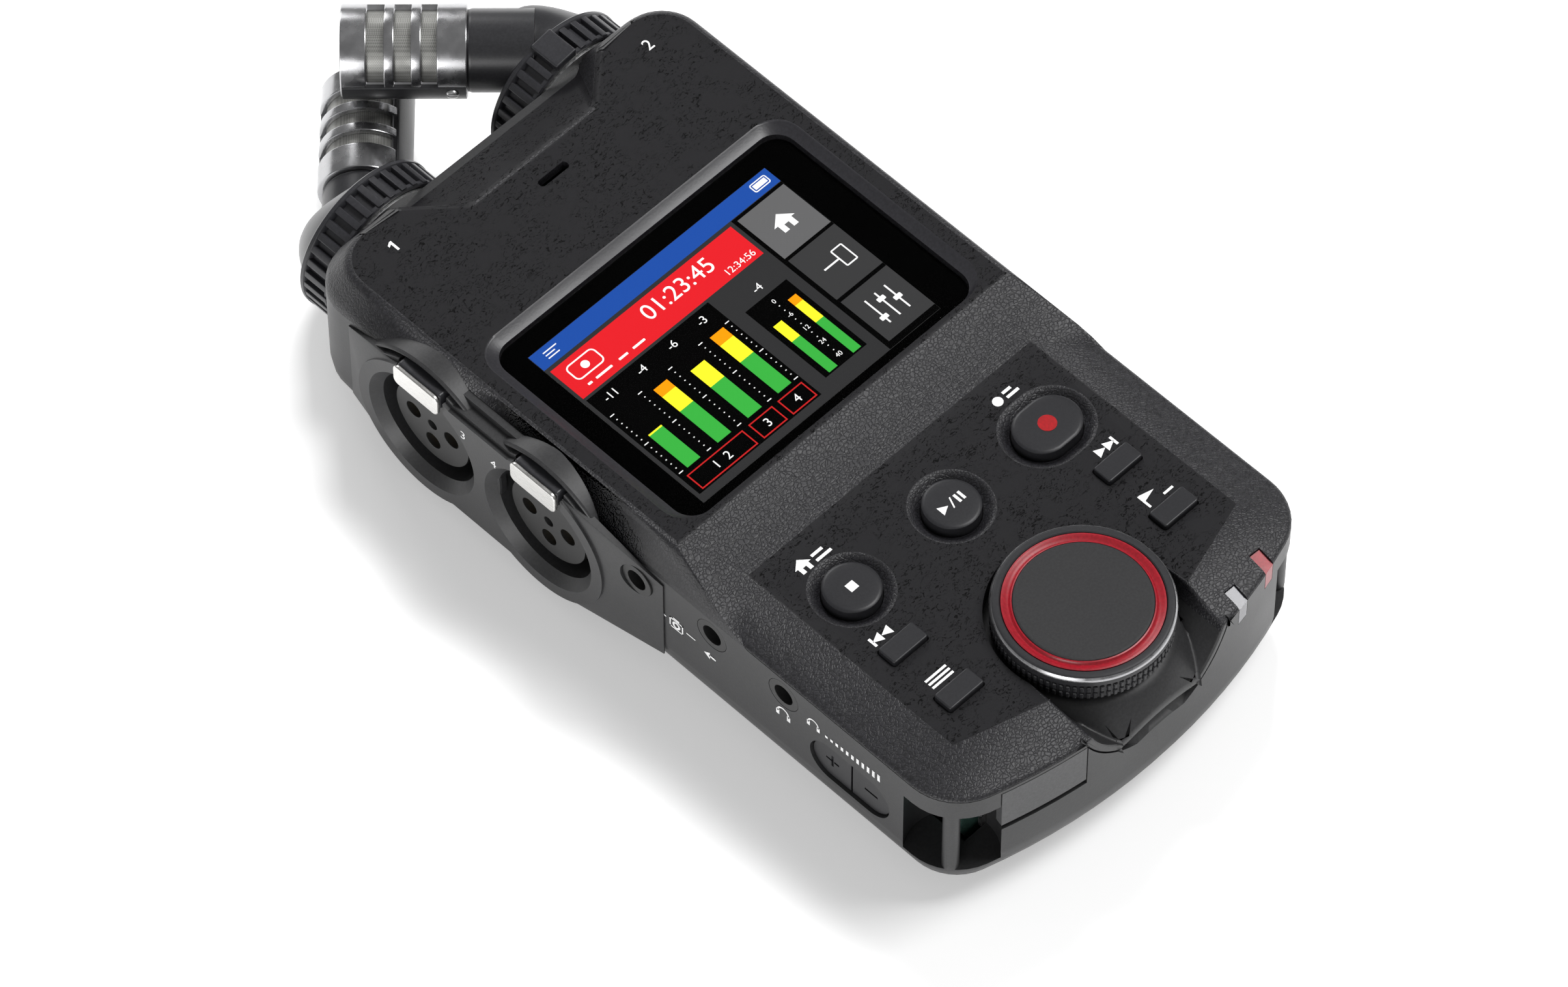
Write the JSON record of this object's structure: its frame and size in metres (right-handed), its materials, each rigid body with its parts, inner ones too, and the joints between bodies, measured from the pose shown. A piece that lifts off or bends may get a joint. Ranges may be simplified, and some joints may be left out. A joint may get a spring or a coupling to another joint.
{
  "type": "portable field recorder",
  "caption": "Hand-held field recorder with a screen, crossed swivelling microphones, thumb wheel, transport buttons and side sockets.",
  "frame": {"origin": "mouth of the tripod thread, on the flat back", "axes": "+Z out of the screen, +Y to the microphones, +X to the right side"},
  "size_m": [0.0782, 0.1739, 0.032],
  "materials": {
    "casing": "fine matt texture",
    "rear_casing": "fine matt texture",
    "screen_glass": "polished, black masked edge",
    "screen_panel": "lit picture",
    "board": "green solder mask",
    "switch_metal": "stamped",
    "key_plastic": "satin moulded",
    "wheel_plastic": "satin moulded, turned rim",
    "red_plastic": "clear red moulding",
    "grey_plastic": "fine matt",
    "clear_plastic": "clear moulding",
    "socket_plastic": "glass-filled moulding",
    "gold_contact": "gold plated",
    "latch_steel": "brushed",
    "shell_steel": "stamped",
    "card_plastic": "printed label",
    "cell_wrap": "printed shrink wrap",
    "nut_brass": "machined",
    "speaker_paper": "pressed cone in a steel frame",
    "screw_steel": "black zinc",
    "pivot_metal": "turned",
    "washer_metal": "satin turned",
    "collar_plastic": "satin, ribbed",
    "housing_metal": "anodised satin",
    "mesh_steel": "woven mesh"
  },
  "bodies": {
    "body": {"front_cover": "casing", "rear_cover": "rear_casing", "xlr_housing": "casing", "display_glass": "screen_glass", "lcd_panel": "screen_panel", "main_board": "board", "key_board": "board", "tact_switches": "switch_metal", "rotary_encoder": "shell_steel", "xlr_socket_3": "socket_plastic", "xlr_socket_4": "socket_plastic", "xlr_contacts_3": "gold_contact", "xlr_contacts_4": "gold_contact", "mic_line_jack": "socket_plastic", "line_out_jack": "socket_plastic", "headphone_jack": "socket_plastic", "card_socket": "shell_steel", "record_light_pipe": "red_plastic", "peak_light_pipe": "clear_plastic", "battery_cells": "cell_wrap", "battery_contacts": "latch_steel", "tripod_nut": "nut_brass", "usb_socket": "shell_steel", "adapter_connector": "socket_plastic", "speaker": "speaker_paper", "cover_screws": "screw_steel", "right_mic_pivot": "pivot_metal", "right_mic_washer": "washer_metal", "left_mic_pivot": "pivot_metal", "left_mic_washer": "washer_metal", "memory_card": "card_plastic"},
    "jog": {"jog_wheel": "wheel_plastic", "jog_ring": "red_plastic", "jog_cap": "wheel_plastic", "encoder_shaft": "shell_steel"},
    "stop_key": {"stop_button": "key_plastic"},
    "play_key": {"play_button": "key_plastic"},
    "record_key": {"record_button": "key_plastic"},
    "previous_key": {"previous_button": "key_plastic"},
    "next_key": {"next_button": "key_plastic"},
    "menu_key": {"menu_button": "key_plastic"},
    "mark_key": {"mark_button": "key_plastic"},
    "volume_up": {"volume_up_key": "key_plastic"},
    "volume_down": {"volume_down_key": "key_plastic"},
    "latch_3": {"xlr_latch_3": "latch_steel"},
    "latch_4": {"xlr_latch_4": "latch_steel"},
    "card_flap": {"card_cover": "grey_plastic"},
    "battery_lid": {"battery_door": "rear_casing"},
    "power_knob": {"power_slider": "rear_casing"},
    "adapter_flap": {"adapter_cover": "rear_casing"},
    "right_mic": {"right_mic_collar": "collar_plastic", "right_mic_arm": "collar_plastic", "right_mic_housing": "housing_metal", "right_mic_capsule": "mesh_steel", "right_mic_screw": "housing_metal"},
    "left_mic": {"left_mic_collar": "collar_plastic", "left_mic_arm": "collar_plastic", "left_mic_housing": "housing_metal", "left_mic_capsule": "mesh_steel", "left_mic_screw": "housing_metal"}
  },
  "joints": [
    {"name": "stop_press", "type": "slide", "parent": "body", "child": "stop_key", "axis": [0, 0, -1], "range_m": [0, 0.0005], "stiffness_N_per_m": 1200},
    {"name": "play_press", "type": "slide", "parent": "body", "child": "play_key", "axis": [0, 0, -1], "range_m": [0, 0.0005], "stiffness_N_per_m": 1200},
    {"name": "record_press", "type": "slide", "parent": "body", "child": "record_key", "axis": [0, 0, -1], "range_m": [0, 0.0005], "stiffness_N_per_m": 1200},
    {"name": "previous_press", "type": "slide", "parent": "body", "child": "previous_key", "axis": [0, 0, -1], "range_m": [0, 0.0005], "stiffness_N_per_m": 1200},
    {"name": "next_press", "type": "slide", "parent": "body", "child": "next_key", "axis": [0, 0, -1], "range_m": [0, 0.0005], "stiffness_N_per_m": 1200},
    {"name": "menu_press", "type": "slide", "parent": "body", "child": "menu_key", "axis": [0, 0, -1], "range_m": [0, 0.0005], "stiffness_N_per_m": 1200},
    {"name": "mark_press", "type": "slide", "parent": "body", "child": "mark_key", "axis": [0, 0, -1], "range_m": [0, 0.0005], "stiffness_N_per_m": 1200},
    {"name": "volume_up_press", "type": "slide", "parent": "body", "child": "volume_up", "axis": [1, 0, 0], "range_m": [0, 0.0005], "stiffness_N_per_m": 1200},
    {"name": "volume_down_press", "type": "slide", "parent": "body", "child": "volume_down", "axis": [1, 0, 0], "range_m": [0, 0.0005], "stiffness_N_per_m": 1200},
    {"name": "latch_3_push", "type": "slide", "parent": "body", "child": "latch_3", "axis": [1, 0, 0], "range_m": [0, 0.002], "stiffness_N_per_m": 1500},
    {"name": "latch_4_push", "type": "slide", "parent": "body", "child": "latch_4", "axis": [1, 0, 0], "range_m": [0, 0.002], "stiffness_N_per_m": 1500},
    {"name": "jog_turn", "type": "hinge", "parent": "body", "child": "jog", "pos_m": [0, -0.054, 0.027], "axis": [0, 0, 1], "continuous": true},
    {"name": "right_mic_swivel", "type": "hinge", "parent": "body", "child": "right_mic", "pos_m": [0.0198, 0.07, 0.016], "axis": [0, 1, 0], "range_deg": [0, 180]},
    {"name": "left_mic_swivel", "type": "hinge", "parent": "body", "child": "left_mic", "pos_m": [-0.0198, 0.07, 0.016], "axis": [0, 1, 0], "range_deg": [0, 180]},
    {"name": "card_flap_swing", "type": "hinge", "parent": "body", "child": "card_flap", "pos_m": [-0.02152, -0.06668, 0.017], "axis": [0.977, -0.213, 0], "range_deg": [0, 90]},
    {"name": "battery_lid_swing", "type": "hinge", "parent": "body", "child": "battery_lid", "pos_m": [0, -0.009, 0.001], "axis": [1, 0, 0], "range_deg": [0, 90]},
    {"name": "power_slide", "type": "slide", "parent": "body", "child": "power_knob", "axis": [0, 1, 0], "range_m": [-0.003, 0.002]},
    {"name": "adapter_flap_swing", "type": "hinge", "parent": "body", "child": "adapter_flap", "pos_m": [0.0364, 0.02315, 0.015], "axis": [0, 0, -1], "range_deg": [0, 90]}
  ]
}
